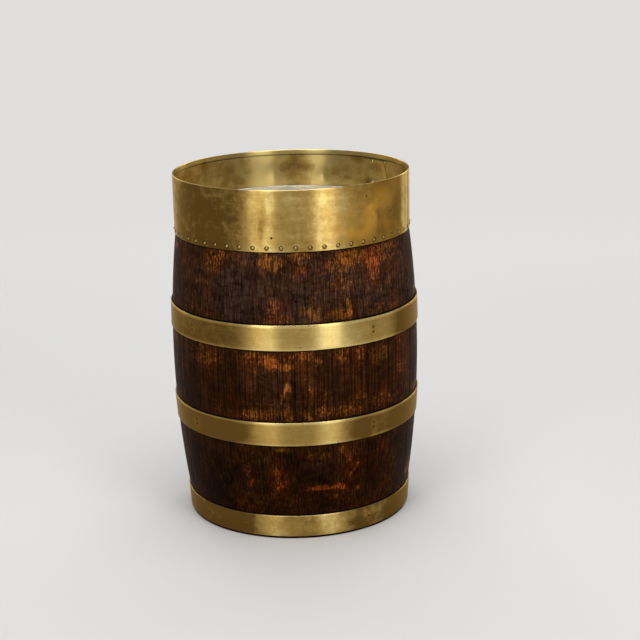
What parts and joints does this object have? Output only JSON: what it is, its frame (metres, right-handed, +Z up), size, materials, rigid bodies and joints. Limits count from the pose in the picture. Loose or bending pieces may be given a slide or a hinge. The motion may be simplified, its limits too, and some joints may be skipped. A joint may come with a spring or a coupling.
{
  "type": "brass-bound barrel",
  "caption": "Bowed wooden barrel of staves bound with flat brass hoops, with a tall brass collar round its open top and a tapered zinc liner that lifts out.",
  "frame": {"origin": "on the floor under the middle of the barrel", "axes": "+Z up along the barrel's axis, -Y towards the front of the picture"},
  "size_m": [0.3598, 0.3598, 0.5],
  "materials": {
    "oak": "dark stained oak with worn orange-brown patches, satin wax",
    "head_oak": "plain dark oak, dry",
    "dowel_wood": "plain beech",
    "collar_brass": "aged sheet brass, polished but mottled",
    "hoop_brass": "aged strip brass, polished but mottled",
    "nail_brass": "worn brass",
    "zinc": "dull pale zinc sheet"
  },
  "bodies": {
    "cask": {"stave_01": "oak", "stave_02": "oak", "stave_03": "oak", "stave_04": "oak", "stave_05": "oak", "stave_06": "oak", "stave_07": "oak", "stave_08": "oak", "stave_09": "oak", "stave_10": "oak", "stave_11": "oak", "stave_12": "oak", "stave_13": "oak", "stave_14": "oak", "stave_15": "oak", "stave_16": "oak", "stave_17": "oak", "stave_18": "oak", "stave_19": "oak", "stave_20": "oak", "stave_21": "oak", "stave_22": "oak", "head_board_left": "head_oak", "head_board_middle": "head_oak", "head_board_right": "head_oak", "head_dowels": "dowel_wood", "top_collar": "collar_brass", "collar_nails": "nail_brass", "collar_seam_rivets": "nail_brass", "upper_hoop": "hoop_brass", "lower_hoop": "hoop_brass", "foot_hoop": "hoop_brass", "upper_hoop_rivets": "nail_brass", "lower_hoop_rivets": "nail_brass", "foot_hoop_rivets": "nail_brass", "upper_hoop_pins": "nail_brass", "lower_hoop_pins": "nail_brass", "foot_hoop_pins": "nail_brass"},
    "liner": {"liner_sheet_left": "zinc", "liner_sheet_right": "zinc", "liner_straps": "zinc", "liner_base": "zinc", "liner_flange": "zinc"}
  },
  "joints": [
    {"name": "liner_lift", "type": "slide", "parent": "cask", "child": "liner", "axis": [0, 0, 1], "range_m": [0, 0.47]}
  ]
}
